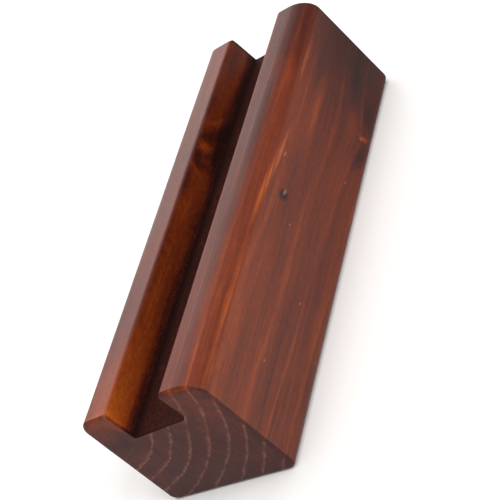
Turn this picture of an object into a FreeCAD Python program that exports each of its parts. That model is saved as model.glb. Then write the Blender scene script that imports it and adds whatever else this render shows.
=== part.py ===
"""Dip pen holder: one solid block of stained softwood with a channel along its top.

The block's cross-section is drawn once and padded along X. Seen from the +X end, a thin lip
stands on the -Y side of the channel and a thick nose on the +Y side. The base is planed at a
small slant to the top, so on the table the top leans down towards the lip.

Frame: origin at the centre of the footprint, +X along the length, +Y from lip to nose, +Z up.
"""
import FreeCAD, Part
import math
import os

import Sketcher

OVERCUT = 5.0          # how far the channel's cutting profile stands above the top
OVERRUN = 10.0         # how much longer than the block the channel's cut is
TOUCHING = 1e-4        # distance below which an edge counts as lying on a line
SAME_VOLUME = 1e-6     # relative volume change below which a feature has done nothing

# How a sketch's constraints name a segment's ends, an arc's centre, and the sketch's own origin.
START, END, CENTRE = 1, 2, 3
SKETCH_ORIGIN = (-1, 1)

# alias, value (mm, or degrees for the slant), what it is
DIMENSIONS = [
    ("block_length", 170.0, "length of the block, end to end"),
    ("section_width", 50.0, "width of the top, square to the front and rear faces"),
    ("front_height", 42.5, "height of the front face, under the lip"),
    ("base_slant", 3.5, "angle between the base and the top, degrees"),
    ("lip_thickness", 13.2, "front face to the channel, at the channel's floor"),
    ("channel_width", 22.6, "channel, wall to wall, where its floor's rounded corner ends"),
    ("channel_depth", 12.5, "channel floor below the top"),
    ("wall_lean", 4.5, "lean of both channel walls towards the lip, degrees"),
    ("floor_radius", 2.5, "corner of the channel floor under the nose"),
    ("mouth_radius", 1.0, "eased mouth of the channel on the nose side"),
    ("lip_radius", 4.2, "roundover along the lip's outer top edge"),
    ("nose_radius", 7.2, "roundover along the nose's outer top edge"),
    ("base_radius", 2.8, "rounding of the two long edges of the base"),
    ("end_arris", 1.0, "arris planed round both ends"),
]


def make_sheet(doc):
    """Driving dimensions, one row each: description, value, alias."""
    sheet = doc.addObject("Spreadsheet::Sheet", "dims")
    for row, (alias, value, meaning) in enumerate(DIMENSIONS, start=1):
        sheet.set(f"A{row}", meaning)
        sheet.set(f"B{row}", str(value))
        sheet.setAlias(f"B{row}", alias)
    doc.recompute()
    return sheet


def cross_plane(body):
    """The body's own YZ plane, square to the block's length."""
    return next(plane for plane in body.Origin.OriginFeatures if plane.Role == "YZ_Plane")


def new_sketch(body, name):
    sketch = body.newObject("Sketcher::SketchObject", name)
    sketch.AttachmentSupport = [(cross_plane(body), "")]
    sketch.MapMode = "FlatFace"
    return sketch


def line(sketch, start, end):
    segment = Part.LineSegment(FreeCAD.Vector(*start, 0), FreeCAD.Vector(*end, 0))
    return sketch.addGeometry(segment, False)


def arc(sketch, centre, radius, start_degrees, end_degrees):
    circle = Part.Circle(FreeCAD.Vector(*centre, 0), FreeCAD.Vector(0, 0, 1), radius)
    start = math.radians(start_degrees)
    end = math.radians(end_degrees)
    return sketch.addGeometry(Part.ArcOfCircle(circle, start, end), False)


def constrain(sketch, *terms):
    return sketch.addConstraint(Sketcher.Constraint(*terms))


def drive(sketch, name, expression, *terms):
    """A dimension of the sketch, named and bound to the spreadsheet."""
    index = constrain(sketch, *terms)
    sketch.renameConstraint(index, name)
    sketch.setExpression(f"Constraints.{name}", expression)


def draw_block_section(body, sheet):
    """The plain section: square at front, top and rear, with the slanted base."""
    sketch = new_sketch(body, "block_section")
    width = sheet.section_width
    front = sheet.front_height
    drop = width * math.tan(math.radians(sheet.base_slant))
    corners = [(0, 0), (0, front), (width, front), (width, -drop)]
    front_face, top, rear_face, base = [
        line(sketch, corners[i], corners[(i + 1) % len(corners)]) for i in range(len(corners))
    ]
    sides = [front_face, top, rear_face, base]
    for i, side in enumerate(sides):
        constrain(sketch, "Coincident", side, END, sides[(i + 1) % len(sides)], START)
    constrain(sketch, "Coincident", front_face, START, *SKETCH_ORIGIN)
    constrain(sketch, "Vertical", front_face)
    constrain(sketch, "Horizontal", top)
    constrain(sketch, "Vertical", rear_face)
    drive(sketch, "front", "dims.front_height", "DistanceY", front_face, START, front_face, END, front)
    drive(sketch, "width", "dims.section_width", "DistanceX", top, START, top, END, width)
    drive(
        sketch,
        "rear",
        "dims.front_height + dims.section_width * tan(dims.base_slant * 1 deg)",
        "DistanceY",
        rear_face,
        END,
        rear_face,
        START,
        front + drop,
    )
    return sketch


def draw_channel_section(body, sheet):
    """The channel: a crisp lip wall, a flat floor, one rounded corner and one eased mouth.

    Both walls lean the same way, so that they come nearer to the lip as they rise.
    """
    sketch = new_sketch(body, "channel_section")
    top = sheet.front_height
    lip = sheet.lip_thickness
    floor = top - sheet.channel_depth
    corner_radius = sheet.floor_radius
    mouth_radius = sheet.mouth_radius
    above = top + OVERCUT
    lean = math.radians(sheet.wall_lean)
    across, rise = math.cos(lean), math.sin(lean)

    corner_end = (lip + sheet.channel_width, floor + corner_radius * (1 + rise))
    corner_centre = (corner_end[0] - corner_radius * across, floor + corner_radius)
    # The mouth's arc starts on the wall, which leans back by its tangent for each mm of height.
    mouth_start_height = top - mouth_radius * (1 + rise)
    wall_shift = (mouth_start_height - corner_end[1]) * math.tan(lean)
    mouth_start = (corner_end[0] - wall_shift, mouth_start_height)
    mouth_centre = (mouth_start[0] + mouth_radius * across, top - mouth_radius)
    lip_shift = (above - floor) * math.tan(lean)

    lip_wall = line(sketch, (lip - lip_shift, above), (lip, floor))
    channel_floor = line(sketch, (lip, floor), (corner_centre[0], floor))
    corner = arc(sketch, corner_centre, corner_radius, -90, sheet.wall_lean)
    nose_wall = line(sketch, corner_end, mouth_start)
    mouth = arc(sketch, mouth_centre, mouth_radius, 90, 180 + sheet.wall_lean)
    riser = line(sketch, (mouth_centre[0], top), (mouth_centre[0], above))
    lid = line(sketch, (mouth_centre[0], above), (lip - lip_shift, above))

    constrain(sketch, "Coincident", lip_wall, END, channel_floor, START)
    constrain(sketch, "Tangent", channel_floor, END, corner, START)
    constrain(sketch, "Tangent", corner, END, nose_wall, START)
    constrain(sketch, "Tangent", nose_wall, END, mouth, END)
    constrain(sketch, "Coincident", mouth, START, riser, START)
    constrain(sketch, "Coincident", riser, END, lid, START)
    constrain(sketch, "Coincident", lid, END, lip_wall, START)
    constrain(sketch, "Horizontal", channel_floor)
    constrain(sketch, "Parallel", nose_wall, lip_wall)
    constrain(sketch, "Vertical", mouth, CENTRE, mouth, START)
    constrain(sketch, "Vertical", riser)
    constrain(sketch, "Horizontal", lid)
    drive(sketch, "lip", "dims.lip_thickness", "DistanceX", *SKETCH_ORIGIN, channel_floor, START, lip)
    drive(
        sketch,
        "floor_level",
        "dims.front_height - dims.channel_depth",
        "DistanceY",
        *SKETCH_ORIGIN,
        channel_floor,
        START,
        floor,
    )
    drive(
        sketch,
        "channel",
        "dims.channel_width",
        "DistanceX",
        lip_wall,
        END,
        nose_wall,
        START,
        sheet.channel_width,
    )
    drive(sketch, "corner_radius", "dims.floor_radius", "Radius", corner, corner_radius)
    drive(sketch, "mouth_radius", "dims.mouth_radius", "Radius", mouth, mouth_radius)
    drive(sketch, "top_level", "dims.front_height", "DistanceY", *SKETCH_ORIGIN, mouth, START, top)
    drive(
        sketch,
        "lean",
        f"(dims.channel_depth + {OVERCUT}) * tan(dims.wall_lean * 1 deg)",
        "DistanceX",
        lip_wall,
        START,
        lip_wall,
        END,
        lip_shift,
    )
    constrain(sketch, "DistanceY", riser, START, riser, END, OVERCUT)
    return sketch


def long_edges(shape, y, z):
    """Names of the edges that run along the block at this place of the section."""
    names = []
    for number, edge in enumerate(shape.Edges, start=1):
        ends = [vertex.Point for vertex in edge.Vertexes]
        if all(abs(p.y - y) < TOUCHING and abs(p.z - z) < TOUCHING for p in ends):
            names.append(f"Edge{number}")
    return names


def end_edges(shape, half_length):
    """Names of the edges that bound the two end faces."""
    names = []
    for number, edge in enumerate(shape.Edges, start=1):
        ends = [vertex.Point for vertex in edge.Vertexes]
        at_near_end = all(abs(p.x - half_length) < TOUCHING for p in ends)
        at_far_end = all(abs(p.x + half_length) < TOUCHING for p in ends)
        if at_near_end or at_far_end:
            names.append(f"Edge{number}")
    return names


def dress(doc, body, kind, name, edges, size_name, expression):
    """A fillet or chamfer on the body's newest feature."""
    base = body.Tip
    feature = body.newObject(kind, name)
    feature.Base = (base, edges)
    feature.setExpression(size_name, expression)
    doc.recompute()
    return feature


def make_block(doc, sheet):
    body = doc.addObject("PartDesign::Body", "holder_block")
    body.Label = "holder_block"

    pad = body.newObject("PartDesign::Pad", "block")
    pad.Profile = draw_block_section(body, sheet)
    pad.SideType = "Symmetric"
    pad.setExpression("Length", "dims.block_length")
    doc.recompute()

    top = sheet.front_height
    rear = sheet.section_width
    rear_foot = -rear * math.tan(math.radians(sheet.base_slant))
    roundings = [
        ("lip_roundover", [(0, top)], "dims.lip_radius"),
        ("nose_roundover", [(rear, top)], "dims.nose_radius"),
        ("base_rounding", [(0, 0), (rear, rear_foot)], "dims.base_radius"),
    ]
    for name, places, radius in roundings:
        edges = [edge for y, z in places for edge in long_edges(body.Shape, y, z)]
        dress(doc, body, "PartDesign::Fillet", name, edges, "Radius", radius)

    arris_edges = end_edges(body.Shape, sheet.block_length / 2)
    dress(doc, body, "PartDesign::Chamfer", "end_arris", arris_edges, "Size", "dims.end_arris")

    uncut = body.Shape.Volume
    channel = body.newObject("PartDesign::Pocket", "channel")
    channel.Profile = draw_channel_section(body, sheet)
    channel.SideType = "Symmetric"
    channel.setExpression("Length", f"dims.block_length + {OVERRUN}")
    doc.recompute()
    if body.Shape.Volume > uncut * (1 - SAME_VOLUME):
        raise RuntimeError("the channel cut nothing")

    seat_on_base(body)
    doc.recompute()
    return body


def seat_on_base(body):
    """Turn the body so its base lies flat on z = 0, and centre its footprint on the origin.

    The front roundover reaches foremost and the rear foot's rounding reaches rearmost.
    """
    slant = "(dims.base_slant * 1 deg)"
    foremost = (
        f"dims.lip_radius * cos{slant} - (dims.front_height - dims.lip_radius) * sin{slant}"
        " - dims.lip_radius"
    )
    rearmost = (
        f"(dims.section_width - dims.base_radius) / cos{slant}"
        f" + dims.base_radius * (1 - tan{slant})"
    )
    turn_about_x = FreeCAD.Rotation(FreeCAD.Vector(1, 0, 0), 1)
    body.Placement = FreeCAD.Placement(FreeCAD.Vector(), turn_about_x)
    body.setExpression("Placement.Rotation.Angle", "dims.base_slant * 1 deg")
    body.setExpression("Placement.Base.y", f"-({foremost} + {rearmost}) / 2")


def check(doc, pieces):
    for item in doc.Objects:
        if "Invalid" in item.State or "Error" in item.State:
            raise RuntimeError(f"{item.Name} failed: {item.State}")
    for piece in pieces:
        if piece.Shape.isNull() or not piece.Shape.isValid():
            raise RuntimeError(f"{piece.Label} has no valid shape")


def main():
    doc = FreeCAD.newDocument("dip_pen_holder")
    sheet = make_sheet(doc)
    pieces = [make_block(doc, sheet)]
    check(doc, pieces)
    os.makedirs("parts", exist_ok=True)
    for piece in pieces:
        piece.Shape.exportStep(os.path.join("parts", f"{piece.Label}.step"))
        box = piece.Shape.BoundBox
        print(piece.Label, "solids", len(piece.Shape.Solids), "volume", round(piece.Shape.Volume, 1))
        print("  from", [round(v, 3) for v in (box.XMin, box.YMin, box.ZMin)])
        print("  to", [round(v, 3) for v in (box.XMax, box.YMax, box.ZMax)])


main()
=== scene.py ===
"""Dip pen holder: the finished block of stained softwood, its studio and its camera.

Lengths are in millimetres in the tables and turned to metres where a mesh, a light or the camera
is made. The wood's patterns use the block's own grain frame: X along the block, V from the front
face to the rear face, H up from the foot of the front face, square to the top.
"""

import math

import bpy
import numpy as np
from mathutils import Matrix, Vector
from mathutils.geometry import delaunay_2d_cdt


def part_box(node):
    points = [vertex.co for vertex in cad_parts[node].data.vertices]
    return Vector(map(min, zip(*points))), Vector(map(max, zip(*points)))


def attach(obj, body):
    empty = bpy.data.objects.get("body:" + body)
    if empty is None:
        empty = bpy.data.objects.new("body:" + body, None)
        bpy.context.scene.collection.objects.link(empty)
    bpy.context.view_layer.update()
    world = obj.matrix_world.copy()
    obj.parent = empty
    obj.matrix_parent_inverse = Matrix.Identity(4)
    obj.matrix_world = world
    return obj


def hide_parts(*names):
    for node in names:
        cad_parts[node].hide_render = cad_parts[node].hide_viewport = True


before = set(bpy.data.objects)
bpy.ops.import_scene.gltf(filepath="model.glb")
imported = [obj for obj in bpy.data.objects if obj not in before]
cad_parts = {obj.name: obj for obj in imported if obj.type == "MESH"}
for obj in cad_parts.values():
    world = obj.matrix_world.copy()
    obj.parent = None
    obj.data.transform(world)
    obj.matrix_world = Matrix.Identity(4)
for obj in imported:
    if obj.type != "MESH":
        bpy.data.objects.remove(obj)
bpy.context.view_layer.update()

MM = 0.001
NODE = "holder_block"
SEED = 7

# ---- the block's section, mm, in the grain frame ----
SECTION_WIDTH = 50.0
FRONT_HEIGHT = 42.5
BASE_SLANT = math.radians(3.5)
LIP_THICKNESS = 13.2       # at the channel's floor
NOSE_WALL = 36.0           # the channel's other side, at its floor
CHANNEL_DEPTH = 12.5
CHANNEL_FLOOR = FRONT_HEIGHT - CHANNEL_DEPTH
WALL_LEAN = math.radians(4.5)
LEANING = CHANNEL_DEPTH * math.tan(WALL_LEAN)
BASE_DROP = SECTION_WIDTH * math.tan(BASE_SLANT)

# Corner: V, H, radius, how many times longer its rounding is along the side after it, and how much
# of the end arris that side takes (0 in the channel).
CORNERS = [
    (0.0, 0.0, 2.8, 1.0, 1.0),
    (SECTION_WIDTH, -BASE_DROP, 2.8, 1.0, 1.0),
    (SECTION_WIDTH, FRONT_HEIGHT, 6.6, 1.42, 1.0),
    (NOSE_WALL - LEANING, FRONT_HEIGHT, 1.0, 1.0, 0.0),
    (NOSE_WALL, CHANNEL_FLOOR, 2.5, 1.0, 0.0),
    (LIP_THICKNESS, CHANNEL_FLOOR, 0.25, 1.0, 0.0),
    (LIP_THICKNESS - LEANING, FRONT_HEIGHT, 1.2, 1.0, 1.0),
    (0.0, FRONT_HEIGHT, 4.2, 1.0, 1.0),
]
# Where one end is rubbed down further: V, H, reach, and how much more of the arris it takes.
RUBBED = {
    "near_share": (42.5, FRONT_HEIGHT, 6.5, 1.5),
    "far_share": (LIP_THICKNESS - LEANING, FRONT_HEIGHT, 2.8, 0.15),
}
END_ARRIS = 1.0
ARRIS_POWER = 1.35         # 1 is a flat chamfer, 2 a quarter round

# ---- relief, mm, all of it sunk below the planed surface ----
SANDING_DEPTH = 0.10
SANDING_SIZE = 14.0        # length of a sanding wave across the block
SANDING_STRETCH = 2.5      # and how many times longer it is along the block
ROUTER_DEPTH = 0.22
ROUTER_SIZE = 1.7          # spacing of the teeth that the router left
FACING_UP = 0.8            # the routed floor is where the surface faces up at least so much
FLOOR_MARGIN = 5.0         # and lies no higher than this above the channel's floor
PIN_KNOT = (1.2, SECTION_WIDTH, FRONT_HEIGHT - 13.1)
PIT_REACH = 2.0            # the pin knot's pit
PIT_DEPTH = 0.4

# ---- how finely the block is cut into faces, mm ----
FLAT_STEP = 0.95           # spacing of the outline's points on flats
ROUND_STEP = 0.55          # and on roundings
DISC_STEP = 1.25           # spacing of the points inside the end faces
ROW_STEP = 0.87 * DISC_STEP     # and of their rows, which are staggered
RIM_CLEARANCE = 0.45 * DISC_STEP
STATIONS = 280             # slices along the block, closer together towards the ends
CROWDING = math.radians(82)     # they follow a sine; nearer a right angle crowds them more
SAME_POINT = 1e-7          # the end faces' triangulation tells points this far apart
WELD_DISTANCE = 0.002      # points of sides and ends closer than this become one
CREASE = math.radians(32)  # edges that turn more than this stay sharp

# Kinds of node that are used most. A Map Range's inputs are 0 the value, 1 and 2 the range it
# comes from, 3 and 4 the levels it goes to.
MATH = "ShaderNodeMath"
VECTOR = "ShaderNodeVectorMath"
RANGE = "ShaderNodeMapRange"
EASED = "SMOOTHSTEP"


def linear(hex_colour):
    """sRGB hex to linear RGBA."""
    channels = [int(hex_colour[i:i + 2], 16) / 255 for i in (1, 3, 5)]
    return tuple(c / 12.92 if c <= 0.04045 else ((c + 0.055) / 1.055) ** 2.4 for c in channels) + (1.0,)


def node(tree, kind, inputs=None, **settings):
    """Adds a node with its settings; inputs maps a socket to a value, a socket or a node to link."""
    made = tree.nodes.new(kind)
    for name, value in settings.items():
        setattr(made, name, value)
    for key, value in (inputs or {}).items():
        socket = made.inputs[key] if isinstance(key, int) else next(
            entry for entry in made.inputs if entry.name == key and entry.enabled
        )
        if isinstance(value, bpy.types.Node):
            value = next(out for out in value.outputs if out.enabled)
        if isinstance(value, bpy.types.NodeSocket):
            tree.links.new(value, socket)
        else:
            socket.default_value = value
    return made


# ---- section ----

def rounded_outline():
    """The section's outline, anticlockwise seen from +X: points, outward normals, arris shares at
    each end."""
    points, normals, shares = [], [], []
    count = len(CORNERS)
    for i, (v, h, radius, stretch, share_after) in enumerate(CORNERS):
        share_before = CORNERS[i - 1][-1]
        here = np.array([v, h])
        arriving = here - np.array(CORNERS[i - 1][:2])
        leaving = np.array(CORNERS[(i + 1) % count][:2]) - here
        arriving /= np.linalg.norm(arriving)
        leaving_length = np.linalg.norm(leaving)
        leaving /= leaving_length
        turn = math.atan2(arriving[0] * leaving[1] - arriving[1] * leaving[0], arriving @ leaving)
        side = math.copysign(1.0, turn)
        setback = radius * math.tan(abs(turn) / 2)
        out_before = np.array([arriving[1], -arriving[0]])
        centre = here - arriving * setback - out_before * radius * side
        steps = max(3, math.ceil(abs(turn) * radius / ROUND_STEP))
        for step in range(steps + 1):
            angle = turn * step / steps
            normal = np.array([
                out_before[0] * math.cos(angle) - out_before[1] * math.sin(angle),
                out_before[0] * math.sin(angle) + out_before[1] * math.cos(angle),
            ])
            point = centre + normal * radius * side
            points.append(point + leaving * ((point - here) @ leaving) * (stretch - 1))
            normal = normal - leaving * (normal @ leaving) * (1 - 1 / stretch)
            normals.append(normal / np.linalg.norm(normal))
            shares.append(share_before + (share_after - share_before) * step / steps)
        next_v, next_h, next_radius = CORNERS[(i + 1) % count][:3]
        leaving_setback = setback * stretch
        after_next = np.array(CORNERS[(i + 2) % count][:2]) - np.array([next_v, next_h])
        after_next /= np.linalg.norm(after_next)
        next_turn = math.acos(max(-1.0, min(1.0, float(leaving @ after_next))))
        run = leaving_length - leaving_setback - next_radius * math.tan(next_turn / 2)
        pieces = max(1, round(run / FLAT_STEP))
        for piece in range(1, pieces):
            points.append(here + leaving * (leaving_setback + run * piece / pieces))
            normals.append(np.array([leaving[1], -leaving[0]]))
            shares.append(share_after)
    points = np.array(points)
    shares_at = {}
    for end, (v, h, reach, more) in RUBBED.items():
        nearness = np.clip(1 - np.hypot(points[:, 0] - v, points[:, 1] - h) / reach, 0, 1)
        shares_at[end] = np.array(shares) + more * nearness
    return points, np.array(normals), shares_at


def points_inside(outline):
    """Staggered points that fill the outline, a little clear of its edge."""
    rows = np.arange(outline[:, 1].min(), outline[:, 1].max(), ROW_STEP)
    columns = np.arange(outline[:, 0].min(), outline[:, 0].max(), DISC_STEP)
    grid = np.array([(v + DISC_STEP / 2 * (k % 2), h) for k, h in enumerate(rows) for v in columns])
    inside = np.zeros(len(grid), bool)
    clearance = np.full(len(grid), np.inf)
    for start, end in zip(outline, np.roll(outline, -1, axis=0)):
        edge = end - start
        if edge[1] != 0:
            crosses = (start[1] > grid[:, 1]) != (end[1] > grid[:, 1])
            crossing = start[0] + (grid[:, 1] - start[1]) * edge[0] / edge[1]
            inside ^= crosses & (grid[:, 0] < crossing)
        along = np.clip(((grid - start) @ edge) / (edge @ edge), 0, 1)
        nearest = start + along[:, None] * edge
        clearance = np.minimum(clearance, np.linalg.norm(grid - nearest, axis=1))
    return grid[inside & (clearance > RIM_CLEARANCE)]


def to_frame(points):
    """Grain-frame V, H in mm to the row frame's Y, Z in metres."""
    cos, sin = math.cos(BASE_SLANT), math.sin(BASE_SLANT)
    y = points[:, 0] * cos - points[:, 1] * sin
    z = points[:, 0] * sin + points[:, 1] * cos
    return np.stack([y, z], axis=1) * MM


outline, outward, shares = rounded_outline()
OUTLINE_POINTS = len(outline)
LOWEST, HIGHEST = (Vector(corner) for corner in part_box(NODE))
LENGTH = HIGHEST.x - LOWEST.x
NEAR_END = LENGTH / 2 / MM      # X of the near end face, mm
# The footprint is centred on the origin, as the CAD's is.
placed_y = to_frame(outline)[:, 0]
SHIFT = (LOWEST.y + HIGHEST.y) / 2 - (placed_y.min() + placed_y.max()) / 2


# What the disc's points carry for the sweep: their outward normal and each end's share of the arris.
DISC_FIELDS = {
    "outward": "FLOAT_VECTOR",
    "near_share": "FLOAT",
    "far_share": "FLOAT",
}


def section_disc():
    """A flat mesh of the section, outline first, carrying what the sweep reads from its points."""
    deepest = np.maximum(shares["near_share"], shares["far_share"])
    rim = outline - outward * deepest[:, None] * END_ARRIS
    filling = points_inside(rim)
    flat = [Vector(p) for p in np.concatenate([rim, filling])]
    edges = [(i, (i + 1) % OUTLINE_POINTS) for i in range(OUTLINE_POINTS)]
    inside_only = 1
    found = delaunay_2d_cdt(flat, edges, [], inside_only, SAME_POINT)
    vertices, faces = found[0], found[2]
    if len(vertices) != len(flat):
        raise RuntimeError("the end face's triangulation moved its points")
    full = np.concatenate([outline, filling])
    placed = to_frame(full)
    mesh = bpy.data.meshes.new("section_disc")
    mesh.from_pydata([(0.0, y + SHIFT, z) for y, z in placed], [], faces)
    for name, data_type in DISC_FIELDS.items():
        mesh.attributes.new(name, data_type, "POINT")
    for i, (y, z) in enumerate(to_frame(outward) / MM):
        mesh.attributes["outward"].data[i].vector = (0.0, y, z)
    for end, values in shares.items():
        for i, value in enumerate(values):
            mesh.attributes[end].data[i].value = value
    return mesh


# ---- sweep ----

def sweep_grid(tree, given, half):
    """A grid with the outline's points at each station, which of them each point is, and its X."""
    row_length = node(tree, MATH, {0: given["Outline Points"], 1: 1.0}, operation="ADD")
    grid = node(tree, "GeometryNodeMeshGrid", {
        "Vertices X": given["Stations"],
        "Vertices Y": row_length,
    })
    index = node(tree, "GeometryNodeInputIndex")
    station = node(tree, MATH, {
        0: node(tree, MATH, {0: index, 1: row_length}, operation="DIVIDE"),
    }, operation="FLOOR")
    # A row's last point is its first one again, so the outline closes.
    along_row = node(tree, MATH, {0: index, 1: row_length}, operation="MODULO")
    outline_point = node(tree, MATH, {
        0: along_row,
        1: given["Outline Points"],
    }, operation="MODULO")

    # Stations crowd towards the ends, where the arris bends.
    last = node(tree, MATH, {0: given["Stations"], 1: 1.0}, operation="SUBTRACT")
    angle = node(tree, RANGE, {
        "Value": station,
        "From Max": last,
        "To Min": -CROWDING,
        "To Max": CROWDING,
    })
    swing = node(tree, MATH, {
        0: node(tree, MATH, {0: angle}, operation="SINE"),
        1: math.sin(CROWDING),
    }, operation="DIVIDE")
    x = node(tree, MATH, {0: swing, 1: half}, operation="MULTIPLY")
    return grid.outputs["Mesh"], outline_point, x


def arris_inset(tree, given, half, x):
    """How far the arris cuts in: 0 where it starts, its full size at the end face."""
    start = node(tree, MATH, {0: half, 1: given["End Arris"]}, operation="SUBTRACT")
    progress = node(tree, RANGE, {
        "Value": node(tree, MATH, {0: x}, operation="ABSOLUTE"),
        "From Min": start,
        "From Max": half,
    })
    raised = node(tree, MATH, {0: progress, 1: given["Arris Power"]}, operation="POWER")
    left = node(tree, MATH, {0: 1.0, 1: raised}, operation="SUBTRACT")
    root = node(tree, MATH, {0: 1.0, 1: given["Arris Power"]}, operation="DIVIDE")
    depth = node(tree, MATH, {
        0: 1.0,
        1: node(tree, MATH, {0: left, 1: root}, operation="POWER"),
    }, operation="SUBTRACT")
    return node(tree, MATH, {0: depth, 1: given["End Arris"]}, operation="MULTIPLY")


def block_sides(tree, given, half, fields):
    """The outline swept from end to end, drawn in by the arris."""
    grid, outline_point, x = sweep_grid(tree, given, half)
    sampled = {}
    for name, field in fields.items():
        sampled[name] = node(tree, "GeometryNodeSampleIndex", {
            "Geometry": given["Section"],
            "Value": field,
            "Index": outline_point,
        }, data_type=DISC_FIELDS.get(name, "FLOAT_VECTOR"))
    share = node(tree, "GeometryNodeSwitch", {
        "Switch": node(tree, MATH, {0: x, 1: 0.0}, operation="GREATER_THAN"),
        "False": sampled["far_share"],
        "True": sampled["near_share"],
    }, input_type="FLOAT")
    inset = arris_inset(tree, given, half, x)
    pull = node(tree, MATH, {0: inset, 1: share}, operation="MULTIPLY")
    pulled = node(tree, VECTOR, {0: sampled["outward"], "Scale": pull}, operation="SCALE")
    on_outline = node(tree, VECTOR, {0: sampled["place"], 1: pulled}, operation="SUBTRACT")
    side_place = node(tree, VECTOR, {
        0: on_outline,
        1: node(tree, "ShaderNodeCombineXYZ", {"X": x}),
    }, operation="ADD")
    lofted = node(tree, "GeometryNodeSetPosition", {"Geometry": grid, "Position": side_place})
    return node(tree, "GeometryNodeFlipFaces", {"Mesh": lofted})


def end_faces(tree, given, half, fields):
    """The two end faces: the section disc itself, pulled in by the whole arris."""
    faces = []
    for sign, share in [(1.0, fields["near_share"]), (-1.0, fields["far_share"])]:
        full_pull = node(tree, MATH, {0: given["End Arris"], 1: share}, operation="MULTIPLY")
        rim_pull = node(tree, VECTOR, {0: fields["outward"], "Scale": full_pull}, operation="SCALE")
        reach = node(tree, MATH, {0: half, 1: sign}, operation="MULTIPLY")
        shift = node(tree, VECTOR, {
            0: node(tree, "ShaderNodeCombineXYZ", {"X": reach}),
            1: rim_pull,
        }, operation="SUBTRACT")
        face = node(tree, "GeometryNodeSetPosition", {"Geometry": given["Section"], "Offset": shift})
        if sign < 0:
            face = node(tree, "GeometryNodeFlipFaces", {"Mesh": face})
        faces.append(face)
    return faces


def relief(tree, given, place):
    """The offset that sinks each point: sanding waves, the router's rough floor and the pin knot's
    pit. Nothing rises above the planed surface."""
    normal = node(tree, "GeometryNodeInputNormal")
    waves = node(tree, "ShaderNodeTexNoise", {
        "Vector": node(tree, VECTOR, {0: place, 1: (SANDING_STRETCH, 1.0, 1.0)}, operation="DIVIDE"),
        "W": given["Seed"],
        "Scale": node(tree, MATH, {0: 1.0, 1: given["Sanding Size"]}, operation="DIVIDE"),
        "Detail": 1.0,
    }, noise_dimensions="4D")
    waved = node(tree, MATH, {0: waves, 1: given["Sanding Depth"]}, operation="MULTIPLY")
    tooth = node(tree, "ShaderNodeTexNoise", {
        "Vector": place,
        "W": given["Seed"],
        "Scale": node(tree, MATH, {0: 1.0, 1: given["Router Size"]}, operation="DIVIDE"),
        "Detail": 2.0,
    }, noise_dimensions="4D")
    torn = node(tree, MATH, {0: tooth, 1: given["Router Depth"]}, operation="MULTIPLY")
    height = node(tree, "ShaderNodeSeparateXYZ", {0: place}).outputs["Z"]
    facing = node(tree, "ShaderNodeSeparateXYZ", {0: normal}).outputs["Z"]
    on_floor = node(tree, MATH, {
        0: node(tree, MATH, {0: height, 1: given["Floor Limit"]}, operation="LESS_THAN"),
        1: node(tree, MATH, {0: facing, 1: FACING_UP}, operation="GREATER_THAN"),
    }, operation="MULTIPLY")
    sunk = node(tree, MATH, {0: torn, 1: on_floor, 2: waved}, operation="MULTIPLY_ADD")
    from_knot = node(tree, VECTOR, {0: place, 1: given["Pit Place"]}, operation="DISTANCE")
    pit = node(tree, RANGE, {
        "Value": from_knot.outputs["Value"],
        "From Max": given["Pit Reach"],
        "To Min": given["Pit Depth"],
        "To Max": 0.0,
    }, interpolation_type=EASED)
    sunk = node(tree, MATH, {0: sunk, 1: pit}, operation="ADD")
    inward = node(tree, MATH, {0: sunk, 1: -1.0}, operation="MULTIPLY")
    return node(tree, VECTOR, {0: normal, "Scale": inward}, operation="SCALE")


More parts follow.
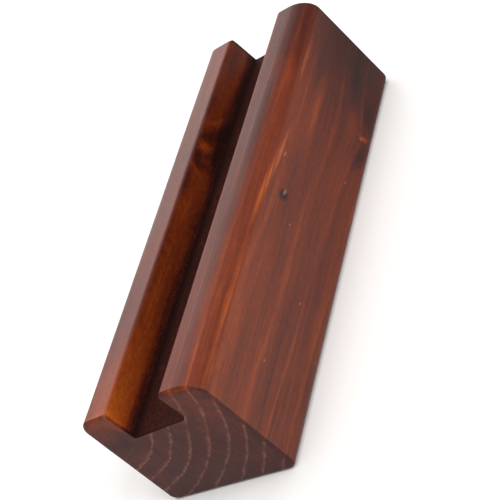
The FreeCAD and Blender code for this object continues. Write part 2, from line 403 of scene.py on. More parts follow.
def sweep_tree():
    """Sweeps the section disc along X, planes the end arris, adds the tool's and the hand's relief."""
    tree = bpy.data.node_groups.new("swept_block", "GeometryNodeTree")
    for name, kind in [
        ("Section", "NodeSocketGeometry"),
        ("Length", "NodeSocketFloat"),
        ("End Arris", "NodeSocketFloat"),
        ("Arris Power", "NodeSocketFloat"),
        ("Outline Points", "NodeSocketInt"),
        ("Stations", "NodeSocketInt"),
        ("Sanding Depth", "NodeSocketFloat"),
        ("Sanding Size", "NodeSocketFloat"),
        ("Router Depth", "NodeSocketFloat"),
        ("Router Size", "NodeSocketFloat"),
        ("Floor Limit", "NodeSocketFloat"),
        ("Pit Place", "NodeSocketVector"),
        ("Pit Reach", "NodeSocketFloat"),
        ("Pit Depth", "NodeSocketFloat"),
        ("Seed", "NodeSocketFloat"),
        ("Wood", "NodeSocketMaterial"),
    ]:
        tree.interface.new_socket(name, in_out="INPUT", socket_type=kind)
    tree.interface.new_socket("Block", in_out="OUTPUT", socket_type="NodeSocketGeometry")
    given = tree.nodes.new("NodeGroupInput").outputs
    half = node(tree, MATH, {0: given["Length"], 1: 0.5}, operation="MULTIPLY")
    place = node(tree, "GeometryNodeInputPosition")
    fields = {"place": place}
    for name, data_type in DISC_FIELDS.items():
        fields[name] = node(tree, "GeometryNodeInputNamedAttribute", {"Name": name}, data_type=data_type)

    joined = node(tree, "GeometryNodeJoinGeometry")
    for part in [block_sides(tree, given, half, fields)] + end_faces(tree, given, half, fields):
        tree.links.new(part.outputs[0], joined.inputs[0])
    closed = node(tree, "GeometryNodeMergeByDistance", {
        "Geometry": joined,
        "Distance": WELD_DISTANCE * MM,
    })
    relieved = node(tree, "GeometryNodeSetPosition", {
        "Geometry": closed,
        "Offset": relief(tree, given, place),
    })
    smooth = node(tree, "GeometryNodeSetShadeSmooth", {"Geometry": relieved})
    crease = node(tree, "FunctionNodeCompare", {
        0: node(tree, "GeometryNodeInputMeshEdgeAngle").outputs["Unsigned Angle"],
        1: CREASE,
    }, operation="GREATER_THAN")
    creased = node(tree, "GeometryNodeSetShadeSmooth", {
        "Geometry": smooth,
        "Selection": crease,
        "Shade Smooth": False,
    }, domain="EDGE")
    real = node(tree, "GeometryNodeRealizeInstances", {"Geometry": creased})
    stained = node(tree, "GeometryNodeSetMaterial", {"Geometry": real, "Material": given["Wood"]})
    result = tree.nodes.new("NodeGroupOutput")
    tree.links.new(stained.outputs[0], result.inputs[0])
    return tree


def pit_place():
    """The pin knot's place in the row frame, in metres."""
    y, z = to_frame(np.array([PIN_KNOT[1:]]))[0]
    return (PIN_KNOT[0] * MM, y + SHIFT, z)


def swept_block(material):
    """Runs the sweep once and keeps its result as a plain mesh."""
    rough = bpy.data.objects.new("section_disc", section_disc())
    bpy.context.scene.collection.objects.link(rough)
    modifier = rough.modifiers.new("swept_block", "NODES")
    modifier.node_group = sweep_tree()
    wanted = {
        "Length": LENGTH,
        "End Arris": END_ARRIS * MM,
        "Arris Power": ARRIS_POWER,
        "Outline Points": OUTLINE_POINTS,
        "Stations": STATIONS,
        "Sanding Depth": SANDING_DEPTH * MM,
        "Sanding Size": SANDING_SIZE * MM,
        "Router Depth": ROUTER_DEPTH * MM,
        "Router Size": ROUTER_SIZE * MM,
        "Floor Limit": (CHANNEL_FLOOR + FLOOR_MARGIN) * MM,
        "Pit Place": pit_place(),
        "Pit Reach": PIT_REACH * MM,
        "Pit Depth": PIT_DEPTH * MM,
        "Seed": float(SEED),
        "Wood": material,
    }
    for socket in modifier.node_group.interface.items_tree:
        if socket.in_out == "INPUT" and socket.name in wanted:
            modifier[socket.identifier] = wanted[socket.name]
    evaluated = rough.evaluated_get(bpy.context.evaluated_depsgraph_get())
    mesh = bpy.data.meshes.new_from_object(evaluated)
    bpy.data.objects.remove(rough)
    mesh.name = "stained_block"
    block = bpy.data.objects.new("stained_block", mesh)
    bpy.context.scene.collection.objects.link(block)
    return block


# ---- wood ----

PITH_V = -12.0             # the tree's centre lay outside the block, beyond the lip and above it
PITH_H = FRONT_HEIGHT + 15.0
RING_SPACING = 5.7         # one year's growth
RING_START = 42.9          # radius of one ring, from the centre
RING_DRIFT = 0.012         # the block was sawn a little across the grain
RING_RAGGED = 1.7          # how far fine noise moves a ring's line
RING_UNEVEN = 3.0          # and how far the years differ from even spacing
YOUNG_RINGS = (4.5, 1.0)   # so far inside that ring, rings hardly show, and show in full
# Across one ring, from its inner side: level of the late wood, whose hard line is the ring's end.
RING_PROFILE = {0.0: 0.8, 0.045: 0.2, 0.09: 0.0, 0.60: 0.06, 0.86: 0.26, 0.95: 0.9, 1.0: 1.0}

BRANCH_START = (-31.3, 9.3, FRONT_HEIGHT)
BRANCH_DIRECTION = (-15.0, 36.5, -35.0)
BRANCH_RADIUS = (4.3, 0.7)      # at its start, and where it reaches the rear face
BRANCH_END = (1.2, 3.4)    # V from its start: hidden in the lip up to here, and whole from here
BRANCH_PUSH = 3.9          # how far the rings bend round the branch
BEND_REACH = 11.0          # distance over which the bend dies away across the grain
NEAR_SHORTENING = 0.40     # distances along X count for so much towards the near end
FAR_SHORTENING = 0.75      # and so much towards the far end

WANDER = (10.0, 2.6, 2.6)  # how far the grain strays along X, V and H
BASE_TONE = 0.40           # of the stain, 0 black-brown to 1 amber
STAIN_COLOURS = {
    0.0: "#240F0C",
    0.25: "#491A0F",
    0.45: "#6C2A10",
    0.65: "#8A3C13",
    0.82: "#A3511A",
    1.0: "#BC6A28",
}

GLOSS = 0.31               # specular level of the varnish where it lies thickest
GLOSS_LOST = 0.23          # and how much of that goes where it is thinnest
NOSE_THINNING = 0.48       # how far towards its thinnest the varnish is on the nose's top
END_THINNING = 0.30        # and on the sawn ends
CUTTER_PITCH = 1.15        # between the router's cross marks; coarser than real, so that it shows
FIBRE_RELIEF = 0.05        # height of the varnished fibres

# Noise in the wood: size of its grains along X, V and H; seed; detail; roughness.
WOOD_PATTERNS = {
    "wander": ((48.0, 12.0, 12.0), 3, 3.0, 0.5),
    "fine": ((16.0, 0.42, 0.42), 11, 3.0, 0.6),
    "fibres": ((42.0, 1.25, 1.25), 12, 3.0, 0.62),
    "bands": ((110.0, 4.2, 4.2), 14, 2.0, 0.5),
    "blotches": ((34.0, 11.0, 11.0), 13, 2.0, 0.5),
    "saw_marks": ((4.0, 0.42, 5.0), 15, 2.0, 0.5),
    "grit": ((0.75, 0.6, 0.6), 16, 1.0, 0.5),
    "mottle": ((2.6, 1.6, 1.6), 18, 3.0, 0.65),
    "whorl": ((1.4, 0.9, 1.5), 17, 3.0, 0.65),
    "ragged": ((13.0, 0.6, 0.6), 21, 3.0, 0.65),
    "uneven": ((130.0, 26.0, 26.0), 22, 1.0, 0.5),
    "ring_strength": ((46.0, 3.5, 3.5), 23, 2.0, 0.5),
}

# Lighter (+) and darker (-) places in the stain, and among the clouds also painted light and shade:
# centre X, V, H;
# reach along X, V, H; tilt in degrees, + where it climbs towards the near end; strength. Streaks break up
# along the fibres.
STAIN_STREAKS = {
    "amber_streak": ((2.0, SECTION_WIDTH, 36.7), (27.0, 6.0, 1.6), 4.5, 0.42),
    "amber_streak_foot": ((-15.0, SECTION_WIDTH, 34.3), (17.0, 6.0, 1.2), 3.0, 0.30),
    "amber_streak_tail": ((55.0, SECTION_WIDTH, 37.4), (46.0, 6.0, 2.2), 0.5, 0.18),
    "warm_near_rear": ((95.0, SECTION_WIDTH, 30.0), (90.0, 12.0, 14.0), 0.0, 0.05),
    "far_streak": ((-58.0, SECTION_WIDTH, 35.3), (16.0, 6.0, 1.5), 0.0, 0.26),
    "far_red_band": ((-40.0, SECTION_WIDTH, 26.0), (26.0, 6.0, 3.4), 3.0, 0.16),
    "far_top_streak": ((-48.0, SECTION_WIDTH, 39.8), (14.0, 6.0, 1.5), 0.0, 0.16),
}
STAIN_AND_LIGHT_CLOUDS = {
    "dark_far_rear": ((-102.0, SECTION_WIDTH, 14.0), (84.0, 24.0, 40.0), 0.0, -0.42),
    "dark_lower_rear": ((45.0, 52.0, 8.0), (140.0, 10.0, 26.0), 0.0, -0.08),
    "far_cloud": ((-68.0, SECTION_WIDTH, 11.5), (17.0, 10.0, 4.5), -8.0, -0.14),
    "far_nose_cloud": ((-72.0, 44.0, 41.0), (44.0, 12.0, 6.0), 2.0, -0.11),
    "above_branch": ((-51.0, SECTION_WIDTH, 8.5), (13.0, 8.0, 6.0), 0.0, 0.10),
    "left_of_branch": ((-59.0, SECTION_WIDTH, 2.0), (10.0, 8.0, 4.0), -20.0, -0.15),
    "right_of_branch": ((-40.0, SECTION_WIDTH, 1.6), (10.0, 8.0, 3.6), 20.0, -0.18),
    # Partly the wall's lighter amber stain, partly painted light falling in through the open near end
    "amber_and_lit_near_wall": ((92.0, 13.0, 39.0), (76.0, 4.5, 8.5), 0.0, 0.39),
    "amber_middle_wall": ((14.0, 13.5, 39.0), (50.0, 4.0, 4.5), 0.0, 0.07),
    "amber_far_wall": ((-76.0, 13.0, 38.5), (18.0, 4.0, 6.0), 0.0, -0.13),
    "wall_left_of_branch": ((-40.0, 13.5, 36.4), (9.0, 4.0, 4.2), 52.0, -0.26),
    "wall_foot_left_of_branch": ((-43.0, 13.5, 33.0), (9.0, 4.0, 3.6), 14.0, -0.22),
    "wall_under_branch": ((-30.0, 13.5, 33.6), (11.0, 4.0, 4.0), 0.0, -0.15),
    "wall_right_of_branch": ((-25.0, 13.5, 39.2), (7.5, 4.0, 4.0), -70.0, -0.24),
    "light_left_of_branch": ((-45.4, 13.5, 37.4), (7.0, 4.0, 1.5), 42.0, 0.18),
    "light_right_of_branch": ((-21.4, 13.5, 39.6), (5.0, 4.0, 1.2), -62.0, 0.15),
    "wall_past_branch": ((-15.0, 13.0, 42.0), (13.0, 3.0, 3.0), -8.0, -0.20),
    "wall_before_branch": ((-52.0, 13.0, 42.0), (13.0, 3.0, 3.0), 6.0, -0.16),
    "wall_glow_a": ((-4.0, 13.5, 39.0), (12.0, 4.0, 3.5), 0.0, 0.08),
    "wall_glow_b": ((36.0, 13.5, 38.6), (14.0, 4.0, 3.5), 0.0, 0.07),
    "amber_near_lip": ((86.0, 8.0, FRONT_HEIGHT), (54.0, 10.0, 5.0), 0.0, 0.20),
    "lip_top": ((0.0, 5.0, FRONT_HEIGHT), (400.0, 9.0, 4.0), 0.0, -0.07),
    # Painted shade along the lip's rounded inner edge, which dulls the light that catches it
    "lip_edge": ((0.0, 11.7, 42.4), (400.0, 1.3, 1.6), 0.0, -0.16),
    "lip_dark_spot": ((-25.5, 8.6, FRONT_HEIGHT), (4.5, 2.6, 2.0), 0.0, -0.12),
    "nose_top": ((0.0, 41.0, FRONT_HEIGHT), (400.0, 9.0, 5.0), 0.0, -0.08),
    "branch_exit": ((-48.3, SECTION_WIDTH, 2.4), (1.9, 4.0, 3.6), 0.0, 0.42),
    "nose_dark_run": ((-24.0, 43.5, FRONT_HEIGHT), (38.0, 2.6, 4.0), 0.0, -0.14),
    "near_end_lip": ((NEAR_END, 5.0, 38.5), (4.0, 11.0, 10.0), 0.0, 0.24),
    "near_end_nose": ((NEAR_END, 42.0, 34.0), (4.0, 10.0, 17.0), 0.0, 0.15),
    "near_end_heart": ((NEAR_END, 8.0, 29.5), (4.0, 8.0, 6.0), 0.0, -0.16),
    "near_end_foot": ((NEAR_END, 22.0, 0.0), (4.0, 36.0, 24.0), 0.0, -0.08),
}

# Where the varnish is thinner and the stain more even: the rear face towards the far end.
FAR_REAR = ((-105.0, SECTION_WIDTH, 16.0), (200.0, 12.0, 80.0))

# Tiny pale chips in the varnish of the rear face: X, H and length.
VARNISH_CHIPS = {
    "chip_by_knot": (9.4, 23.6, 1.0),
    "chip_middle": (33.0, 11.5, 0.9),
    "chip_near": (61.0, 19.5, 0.9),
    "chip_low": (-24.5, 5.5, 1.1),
    "chip_high": (-14.0, 33.1, 2.4),
}


def grain_place(tree):
    """Object coordinates turned into the grain frame, in mm."""
    coordinates = node(tree, "ShaderNodeTexCoord")
    centred = node(tree, VECTOR, {
        0: coordinates.outputs["Object"],
        1: (0.0, SHIFT, 0.0),
    }, operation="SUBTRACT")
    return node(tree, "ShaderNodeMapping", {
        "Vector": centred,
        "Rotation": (-BASE_SLANT, 0.0, 0.0),
        "Scale": (1 / MM, 1 / MM, 1 / MM),
    })


def wood_pattern(tree, place, name):
    """One of the wood's noise patterns, read at a place in the grain frame."""
    size, seed, detail, roughness = WOOD_PATTERNS[name]
    return node(tree, "ShaderNodeTexNoise", {
        "Vector": node(tree, VECTOR, {0: place, 1: size}, operation="DIVIDE"),
        "W": float(seed),
        "Scale": 1.0,
        "Detail": detail,
        "Roughness": roughness,
    }, noise_dimensions="4D")


def patch(tree, place, centre, reach, tilt=0.0):
    """1 at the centre, easing to 0 at its reach."""
    local = node(tree, "ShaderNodeMapping", {
        "Vector": place,
        "Location": centre,
        "Rotation": (0.0, -math.radians(tilt), 0.0),
        "Scale": reach,
    }, vector_type="TEXTURE")
    distance = node(tree, VECTOR, {0: local}, operation="LENGTH").outputs["Value"]
    return node(tree, RANGE, {0: distance, 1: 0.0, 2: 1.0, 3: 1.0, 4: 0.0}, interpolation_type=EASED)


def set_stops(ramp, stops):
    """Gives a colour ramp its stops, from position 0 to position 1."""
    for position, colour in stops.items():
        if position == 0.0:
            stop = ramp.elements[0]
        elif position == 1.0:
            stop = ramp.elements[-1]
        else:
            stop = ramp.elements.new(position)
        stop.color = colour


def branch_fields(tree, place):
    """The branch that crosses the block: distance from its centre line as a share of its radius,
    and how far it bends the rings."""
    direction = Vector(BRANCH_DIRECTION).normalized()
    from_start = node(tree, VECTOR, {0: place, 1: BRANCH_START}, operation="SUBTRACT")
    along = node(tree, VECTOR, {0: from_start, 1: direction}, operation="DOT_PRODUCT")
    on_line = node(tree, VECTOR, {
        0: tuple(direction),
        "Scale": along.outputs["Value"],
    }, operation="SCALE")
    beside = node(tree, VECTOR, {0: from_start, 1: on_line}, operation="SUBTRACT")
    distance = node(tree, VECTOR, {0: beside}, operation="LENGTH").outputs["Value"]
    depth = node(tree, "ShaderNodeSeparateXYZ", {0: from_start}).outputs["Y"]
    radius = node(tree, RANGE, {
        0: depth,
        2: SECTION_WIDTH - BRANCH_START[1],
        3: BRANCH_RADIUS[0],
        4: BRANCH_RADIUS[1],
    })
    # It ends inside the lip, short of the lip's top: what lies there counts as 4 radii away.
    hidden = node(tree, RANGE, {
        0: depth,
        1: BRANCH_END[0],
        2: BRANCH_END[1],
        3: 4.0,
        4: 0.0,
    }, interpolation_type=EASED)
    in_radii = node(tree, MATH, {0: distance, 1: radius}, operation="DIVIDE")
    share = node(tree, MATH, {0: in_radii, 1: hidden}, operation="ADD")
    # The bend dies away slowly towards the near end and quickly towards the far one.
    split = node(tree, "ShaderNodeSeparateXYZ", {0: beside})
    near_side = node(tree, MATH, {0: split.outputs["X"], 1: NEAR_SHORTENING}, operation="MULTIPLY")
    far_side = node(tree, MATH, {0: split.outputs["X"], 1: -FAR_SHORTENING}, operation="MULTIPLY")
    stretched = node(tree, "ShaderNodeCombineXYZ", {
        "X": node(tree, MATH, {0: near_side, 1: far_side}, operation="MAXIMUM"),
        "Y": split.outputs["Y"],
        "Z": split.outputs["Z"],
    })
    spread = node(tree, VECTOR, {0: stretched}, operation="LENGTH").outputs["Value"]
    decay = node(tree, MATH, {0: spread, 1: -BEND_REACH}, operation="DIVIDE")
    fading = node(tree, MATH, {0: decay}, operation="EXPONENT")
    return share, node(tree, MATH, {0: fading, 1: BRANCH_PUSH}, operation="MULTIPLY")


def ring_pattern(tree, place, push):
    """Late wood, 1 on each ring's hard line: rings about the pith, drifting along X."""
    parts = node(tree, "ShaderNodeSeparateXYZ", {0: place})
    radial = node(tree, "ShaderNodeCombineXYZ", {
        "Y": node(tree, MATH, {0: parts.outputs["Y"], 1: PITH_V}, operation="SUBTRACT"),
        "Z": node(tree, MATH, {0: parts.outputs["Z"], 1: PITH_H}, operation="SUBTRACT"),
    })
    radius = node(tree, VECTOR, {0: radial}, operation="LENGTH").outputs["Value"]
    radius = node(tree, MATH, {0: radius, 1: push}, operation="SUBTRACT")
    from_near_end = node(tree, MATH, {0: parts.outputs["X"], 1: NEAR_END}, operation="SUBTRACT")
    for field, strength in [
        (from_near_end, RING_DRIFT),
        (wood_pattern(tree, place, "ragged"), RING_RAGGED),
        (wood_pattern(tree, place, "uneven"), RING_UNEVEN),
    ]:
        radius = node(tree, MATH, {0: field, 1: strength, 2: radius}, operation="MULTIPLY_ADD")
    # The noise averages one half, which comes off again here.
    first_ring = RING_START + (RING_RAGGED + RING_UNEVEN) / 2
    grown_since = node(tree, MATH, {0: radius, 1: first_ring}, operation="SUBTRACT")
    rings = node(tree, MATH, {0: grown_since, 1: RING_SPACING}, operation="DIVIDE")
    late_wood = node(tree, "ShaderNodeValToRGB", {
        "Fac": node(tree, MATH, {0: rings}, operation="FRACT"),
    })
    greys = {position: (level, level, level, 1.0) for position, level in RING_PROFILE.items()}
    set_stops(late_wood.color_ramp, greys)
    # A ring's line is stronger in some places than in others.
    strength = node(tree, RANGE, {
        0: wood_pattern(tree, place, "ring_strength"),
        1: 0.32,
        2: 0.62,
        3: 0.30,
        4: 1.0,
    }, interpolation_type=EASED)
    # The youngest rings, close to the tree's centre, hardly show.
    grown = node(tree, RANGE, {
        0: radius,
        1: RING_START - YOUNG_RINGS[0],
        2: RING_START - YOUNG_RINGS[1],
        3: 0.15,
        4: 1.0,
    }, interpolation_type=EASED)
    strength = node(tree, MATH, {0: strength, 1: grown}, operation="MULTIPLY")
    return node(tree, MATH, {0: late_wood.outputs["Color"], 1: strength}, operation="MULTIPLY")


def worked_zones(tree, straight, patterns):
    """Where the maker's tools changed the surface, and where shade is painted low in the channel, in its
    crease and on the end arris, each a field from 0 to 1.
    """
    from_middle = node(tree, MATH, {0: straight.outputs["X"]}, operation="ABSOLUTE")
    # The dark band at the foot of the walls wanders up them with the grain: the routed floor's own darker
    # stain, and above it a painted shadow that the nose casts on the lip's lower wall.
    floor_height = straight.outputs["Z"]
    for name, strength in [("blotches", 5.0), ("fibres", 1.6)]:
        floor_height = node(tree, MATH, {
            0: patterns[name],
            1: strength,
            2: floor_height,
        }, operation="MULTIPLY_ADD")
    # V with the channel walls' lean taken out.
    above_floor = node(tree, MATH, {0: straight.outputs["Z"], 1: CHANNEL_FLOOR}, operation="SUBTRACT")
    upright = node(tree, MATH, {
        0: above_floor,
        1: math.tan(WALL_LEAN),
        2: straight.outputs["Y"],
    }, operation="MULTIPLY_ADD")
    from_crease = node(tree, VECTOR, {
        0: node(tree, "ShaderNodeCombineXYZ", {"Y": straight.outputs["Y"], "Z": straight.outputs["Z"]}),
        1: (0.0, LIP_THICKNESS, CHANNEL_FLOOR),
    }, operation="DISTANCE").outputs["Value"]
    zones = {}
    for name, (measured, start, stop, before, after) in {
        "end_face": (from_middle, NEAR_END - 0.30, NEAR_END - 0.14, 0.0, 1.0),
        "end_and_arris": (from_middle, NEAR_END - 1.25, NEAR_END - 0.85, 0.0, 1.0),
        "low": (floor_height, CHANNEL_FLOOR + 4.4, CHANNEL_FLOOR + 8.6, 1.0, 0.0),
        "above_base": (straight.outputs["Z"], CHANNEL_FLOOR - 0.9, CHANNEL_FLOOR - 0.5, 0.0, 1.0),
        "past_lip": (upright, LIP_THICKNESS - 0.4, LIP_THICKNESS - 0.1, 0.0, 1.0),
        "before_nose": (upright, NOSE_WALL + 0.1, NOSE_WALL + 0.4, 1.0, 0.0),
        "crease": (from_crease, 0.2, 1.5, 1.0, 0.0),
        "on_nose": (straight.outputs["Y"], NOSE_WALL - 4.0, NOSE_WALL - 1.5, 0.0, 1.0),
        "high": (straight.outputs["Z"], FRONT_HEIGHT - 6.0, FRONT_HEIGHT - 1.0, 0.0, 1.0),
    }.items():
        zones[name] = node(tree, RANGE, {
            0: measured,
            1: start,
            2: stop,
            3: before,
            4: after,
        }, interpolation_type=EASED)
    zones["end_arris"] = node(tree, MATH, {
        0: zones["end_and_arris"],
        1: zones["end_face"],
    }, operation="SUBTRACT")
    zones["not_end"] = node(tree, MATH, {0: 1.0, 1: zones["end_face"]}, operation="SUBTRACT")
    for name, first, others in [
        ("channel", "past_lip", ["before_nose", "above_base", "not_end"]),
        ("routed_and_shaded", "channel", ["low"]),
        ("foot", "channel", ["crease"]),
        ("above_nose", "on_nose", ["high"]),
    ]:
        zones[name] = zones[first]
        for other in others:
            zones[name] = node(tree, MATH, {0: zones[name], 1: zones[other]}, operation="MULTIPLY")
    return zones


def stain_light_and_shade_tone(tree, places, late_wood, branch_share, patterns, zones):
    """How light the stain is, with painted light and shade in places: 0 black-brown, 1 amber."""
    place, wandered = places
    # Each pattern as its difference from its average.
    centred = {
        name: node(tree, MATH, {0: pattern, 1: 0.5}, operation="SUBTRACT")
        for name, pattern in patterns.items()
    }
    calm = node(tree, RANGE, {0: zones["channel"], 3: 1.0, 4: 0.6})
    even = node(tree, RANGE, {0: zones["far_rear"], 3: 1.0, 4: 0.62})
    contrast = node(tree, MATH, {0: calm, 1: even}, operation="MULTIPLY")

    # The branch's own wood is amber, inside a dark ring of bark.
    ragged_share = node(tree, MATH, {
        0: centred["whorl"],
        1: 1.3,
        2: branch_share,
    }, operation="MULTIPLY_ADD")
    heart = node(tree, RANGE, {0: ragged_share, 1: 0.1, 2: 1.0, 3: 1.0, 4: 0.0}, interpolation_type=EASED)
    knot = node(tree, RANGE, {0: ragged_share, 1: 1.0, 2: 1.8, 3: 1.0, 4: 0.0}, interpolation_type=EASED)
    bark = node(tree, MATH, {0: knot, 1: heart}, operation="SUBTRACT")

    # The end arris is painted darker as shade, but not where the nose's near shoulder is rubbed down.
    shoulder_v, shoulder_h = RUBBED["near_share"][:2]
    rubbed = patch(tree, place, (NEAR_END, shoulder_v, shoulder_h - 1.5), (5.0, 8.0, 5.5))
    sharp = node(tree, RANGE, {0: rubbed, 1: 0.0, 2: 0.5, 3: 1.0, 4: 0.0})

    # What changes the tone, each with a field that limits it and its strength.
    mottle_strength = node(tree, RANGE, {0: zones["channel"], 3: 0.18, 4: 0.34})
    grit_strength = node(tree, RANGE, {0: zones["channel"], 3: 0.08, 4: 0.20})
    fibrous = node(tree, RANGE, {
        0: patterns["fibres"],
        1: 0.30,
        2: 0.66,
        3: 0.35,
        4: 1.35,
    }, interpolation_type=EASED)
    changes = [
        (late_wood, contrast, 0.17),
        (centred["fine"], contrast, 0.29),
        (centred["fibres"], contrast, 0.38),
        (centred["bands"], contrast, 0.26),
        (centred["blotches"], contrast, 0.22),
        (centred["mottle"], mottle_strength, 1.0),
        (centred["grit"], grit_strength, 1.0),
        (centred["grit"], zones["routed_and_shaded"], 0.50),
        (centred["saw_marks"], zones["end_face"], 0.55),
        (zones["end_face"], 1.0, -0.17),
        (zones["end_arris"], sharp, -0.27),
        # Darker stain on the routed floor, and painted shadow of the nose on the lip's lower wall
        (zones["routed_and_shaded"], 1.0, -0.35),
        # Painted shade in the crease between the lip's wall and the channel's floor
        (zones["foot"], 1.0, -0.25),
        (heart, 1.0, 0.20),
        (bark, 1.0, -0.13),
        (patch(tree, place, PIN_KNOT, (3.6, 4.0, 2.5), 25.0), 1.0, -0.55),
    ]
    for centre, size, tilt, strength in STAIN_STREAKS.values():
        changes.append((patch(tree, wandered, centre, size, tilt), fibrous, strength))
    for centre, size, tilt, strength in STAIN_AND_LIGHT_CLOUDS.values():
        changes.append((patch(tree, wandered, centre, size, tilt), 1.0, strength))
    tone = BASE_TONE
    for field, limit, strength in changes:
        if limit != 1.0:
            field = node(tree, MATH, {0: field, 1: limit}, operation="MULTIPLY")
        tone = node(tree, MATH, {0: field, 1: strength, 2: tone}, operation="MULTIPLY_ADD")
    return tone


def stain_and_sheen_colour(tree, place, tone, late_wood, patterns, zones):
    """The stain's colour, with the sawn ends' grey and their ring lines, both partly painted sheen, and
    the varnish's chips.
    """
    stain = node(tree, "ShaderNodeValToRGB", {"Fac": tone})
    set_stops(stain.color_ramp, {at: linear(colour) for at, colour in STAIN_COLOURS.items()})

    # The end grain is greyer, most of all at its foot, partly as painted sheen of the pale floor on the
    # rough end grain. Its hard lines are paler and pinker, partly as painted sheen on the late wood.
    foot = patch(tree, place, (NEAR_END, 24.0, -2.0), (4.0, 34.0, 22.0))
    greyness = node(tree, MATH, {0: foot, 1: 0.30, 2: 0.25}, operation="MULTIPLY_ADD")
    line = node(tree, RANGE, {0: late_wood, 1: 0.10, 2: 0.60}, interpolation_type=EASED)
    for name, start, stop, least in [("whorl", 0.35, 0.62, 0.25), ("saw_marks", 0.36, 0.60, 0.40)]:
        broken = node(tree, RANGE, {
            0: patterns[name],
            1: start,
            2: stop,
            3: least,
            4: 1.0,
        }, interpolation_type=EASED)
        line = node(tree, MATH, {0: line, 1: broken}, operation="MULTIPLY")
    line = node(tree, MATH, {0: line, 1: 0.48}, operation="MULTIPLY")

    # Tiny pale chips, where the varnish has flaked; the first is at the pin knot's edge.
    knot_x, knot_v, knot_h = PIN_KNOT
    chips = patch(tree, place, (knot_x - 1.6, knot_v, knot_h - 0.5), (1.9, 3.0, 0.9), 10.0)
    for x, h, size in VARNISH_CHIPS.values():
        chip = patch(tree, place, (x, SECTION_WIDTH, h), (size * 0.8, 2.0, 0.45), 15.0)
        chips = node(tree, MATH, {0: chips, 1: chip}, operation="MAXIMUM")

    colour = stain.outputs["Color"]
    for field, limit, tint in [
        (greyness, zones["end_face"], "#4C3637"),
        (line, zones["end_face"], "#966A60"),
        (chips, 0.5, "#B08478"),
    ]:
        colour = node(tree, "ShaderNodeMix", {
            "Factor": node(tree, MATH, {0: field, 1: limit}, operation="MULTIPLY"),
            "A": colour,
            "B": linear(tint),
        }, data_type="RGBA").outputs[2]
    return colour


def varnish(tree, patterns, zones):
    """Roughness and specular level: satin where sanded, dull on sawn ends and the routed floor, and
    less gloss where the coat is thinner."""
    roughness = node(tree, RANGE, {0: patterns["fibres"], 1: 0.3, 2: 0.7, 3: 0.38, 4: 0.50})
    for name, strength in [("end_face", 0.20), ("routed_and_shaded", 0.25)]:
        roughness = node(tree, MATH, {
            0: zones[name],
            1: strength,
            2: roughness,
        }, operation="MULTIPLY_ADD")
    thin = node(tree, MATH, {0: zones["far_rear"], 1: zones["channel"]}, operation="MAXIMUM")
    for name, thinning in [("above_nose", NOSE_THINNING), ("end_face", END_THINNING)]:
        thinned = node(tree, MATH, {0: zones[name], 1: thinning}, operation="MULTIPLY")
        thin = node(tree, MATH, {0: thin, 1: thinned}, operation="MAXIMUM")
    gloss = node(tree, MATH, {0: thin, 1: -GLOSS_LOST, 2: GLOSS}, operation="MULTIPLY_ADD")
    return roughness, gloss


def fine_relief(tree, straight, late_wood, patterns, zones):
    """Bump: the varnish follows the fibres, and the cutter left fine cross marks in the channel."""
    turns = node(tree, MATH, {0: straight.outputs["X"], 1: math.tau / CUTTER_PITCH}, operation="MULTIPLY")
    cutter = node(tree, MATH, {0: turns}, operation="SINE")
    height = node(tree, MATH, {0: patterns["fine"], 1: 1.6, 2: late_wood}, operation="MULTIPLY_ADD")
    for field, limit, strength in [
        (cutter, zones["channel"], 0.25),
        (patterns["grit"], zones["routed_and_shaded"], 2.0),
        (patterns["saw_marks"], zones["end_face"], 1.5),
    ]:
        raised = node(tree, MATH, {0: field, 1: limit}, operation="MULTIPLY")
        height = node(tree, MATH, {0: raised, 1: strength, 2: height}, operation="MULTIPLY_ADD")
    return node(tree, "ShaderNodeBump", {
        "Strength": 0.5,
        "Distance": FIBRE_RELIEF * MM,
        "Height": height,
    })


def stained_pine():
    """Pine, planed and sanded, mahogany spirit stain under satin varnish: the stain sinks deepest in
    the soft early wood and the end grain, so the rings' hard late wood shows as lighter red lines."""
    material = bpy.data.materials.new("stained_pine_satin_varnish")
    material.use_nodes = True
    tree = material.node_tree
    tree.nodes.clear()
    place = grain_place(tree)
    straight = node(tree, "ShaderNodeSeparateXYZ", {0: place})

    # Wander of the grain: broad and lengthwise, so rings and patches lose their drawn edges.
    stray = node(tree, VECTOR, {
        0: wood_pattern(tree, place, "wander").outputs["Color"],
        1: (0.5, 0.5, 0.5),
    }, operation="SUBTRACT")
    wandered = node(tree, VECTOR, {0: stray, 1: WANDER, 2: place}, operation="MULTIPLY_ADD")
    branch_share, push = branch_fields(tree, wandered)
    late_wood = ring_pattern(tree, wandered, push)

    # The fibres bend round the branch with the rings; the rest lies still.
    bent = node(tree, VECTOR, {
        0: wandered,
        1: node(tree, "ShaderNodeCombineXYZ", {"Z": push}),
    }, operation="ADD")
    patterns = {name: wood_pattern(tree, bent, name) for name in ["fine", "fibres", "bands"]}
    for name in ["blotches", "saw_marks", "grit", "mottle", "whorl"]:
        patterns[name] = wood_pattern(tree, place, name)
    zones = worked_zones(tree, straight, patterns)
    zones["far_rear"] = patch(tree, place, *FAR_REAR)

    tone = stain_light_and_shade_tone(tree, (place, wandered), late_wood, branch_share, patterns, zones)
    roughness, gloss = varnish(tree, patterns, zones)
    shader = node(tree, "ShaderNodeBsdfPrincipled", {
        "Base Color": stain_and_sheen_colour(tree, place, tone, late_wood, patterns, zones),
        "Roughness": roughness,
        "IOR": 1.5,
        "Specular IOR Level": gloss,
        "Normal": fine_relief(tree, straight, late_wood, patterns, zones),
    })
    node(tree, "ShaderNodeOutputMaterial", {"Surface": shader})
    return material


# ---- studio ----

FLOOR_REACH = 3.0           # metres each way
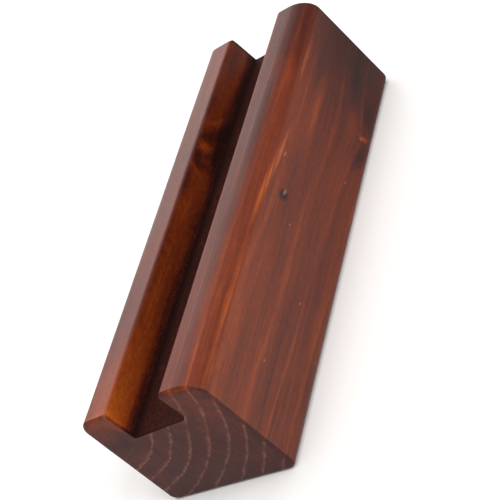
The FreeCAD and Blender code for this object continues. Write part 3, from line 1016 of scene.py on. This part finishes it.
# Azimuth from +X towards +Y and elevation in degrees, distance, width, height in metres, watts.
SOFTBOXES = {
    "back_softbox": (-138.0, 28.0, 1.2, 0.7, 1.1, 3.9),
    "high_back_softbox": (-138.0, 66.0, 1.2, 0.9, 0.7, 2.8),
    "side_key": (78.0, 48.0, 1.3, 0.7, 0.7, 7.8),
    "overhead_softbox": (20.0, 84.0, 1.4, 1.0, 1.0, 7.0),
}
SKY = "#FFFFFF"
SKY_STRENGTH = 0.55

AIM = Vector((3.51, -0.59, 18.21)) * MM     # camera and lights all face this, near the block's middle
CAMERA_AZIMUTH = 42.81      # degrees from +X towards +Y
CAMERA_ELEVATION = 29.85
CAMERA_ROLL = 45.61
CAMERA_DISTANCE = 520.36    # mm
CAMERA_LENS = 113.6         # mm
SENSOR_WIDTH = 36.0         # mm


def studio_floor():
    """A pale matt sweep of card under the block."""
    mesh = bpy.data.meshes.new("floor")
    corners = [(x * FLOOR_REACH, y * FLOOR_REACH, 0) for x, y in [(-1, -1), (1, -1), (1, 1), (-1, 1)]]
    mesh.from_pydata(corners, [], [(0, 1, 2, 3)])
    floor = bpy.data.objects.new("floor", mesh)
    bpy.context.scene.collection.objects.link(floor)
    material = bpy.data.materials.new("matt_white_card")
    material.use_nodes = True
    shader = material.node_tree.nodes["Principled BSDF"]
    shader.inputs["Base Color"].default_value = linear("#EFEDEB")
    shader.inputs["Roughness"].default_value = 0.8
    shader.inputs["Specular IOR Level"].default_value = 0.1
    mesh.materials.append(material)


def direction_to(azimuth, elevation):
    """Unit vector from the block towards a lamp or the camera."""
    around = math.radians(azimuth)
    above = math.radians(elevation)
    level = math.cos(above)
    return Vector((level * math.cos(around), level * math.sin(around), math.sin(above)))


def studio_lights():
    """A white room and large softboxes, all turned to the block."""
    world = bpy.data.worlds.new("white_room")
    bpy.context.scene.world = world
    world.use_nodes = True
    background = world.node_tree.nodes["Background"]
    background.inputs["Color"].default_value = linear(SKY)
    background.inputs["Strength"].default_value = SKY_STRENGTH
    for name, (azimuth, elevation, distance, width, height, watts) in SOFTBOXES.items():
        lamp = bpy.data.lights.new(name, "AREA")
        lamp.shape = "RECTANGLE"
        lamp.size = width
        lamp.size_y = height
        lamp.energy = watts
        towards = direction_to(azimuth, elevation)
        softbox = bpy.data.objects.new(name, lamp)
        softbox.location = AIM + towards * distance
        softbox.rotation_euler = (-towards).to_track_quat("-Z", "Y").to_euler()
        bpy.context.scene.collection.objects.link(softbox)


def studio_camera():
    """Above and behind the near end, rolled so that the block stands up in the picture."""
    data = bpy.data.cameras.new("camera")
    data.sensor_width = SENSOR_WIDTH
    data.lens = CAMERA_LENS
    data.clip_start = 10 * MM
    back = direction_to(CAMERA_AZIMUTH, CAMERA_ELEVATION)
    level = Vector((0, 0, 1)).cross(back).normalized()
    upright = back.cross(level)
    roll = math.radians(CAMERA_ROLL)
    up = upright * math.cos(roll) + level * math.sin(roll)
    right = up.cross(back)
    camera = bpy.data.objects.new("camera", data)
    turned = Matrix((right, up, back)).transposed().to_4x4()
    camera.matrix_world = Matrix.Translation(AIM + back * CAMERA_DISTANCE * MM) @ turned
    bpy.context.scene.collection.objects.link(camera)
    bpy.context.scene.camera = camera


bpy.context.scene.view_settings.view_transform = "Standard"
studio_camera()
studio_floor()
studio_lights()

block = swept_block(stained_pine())
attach(block, "root")
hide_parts(NODE)
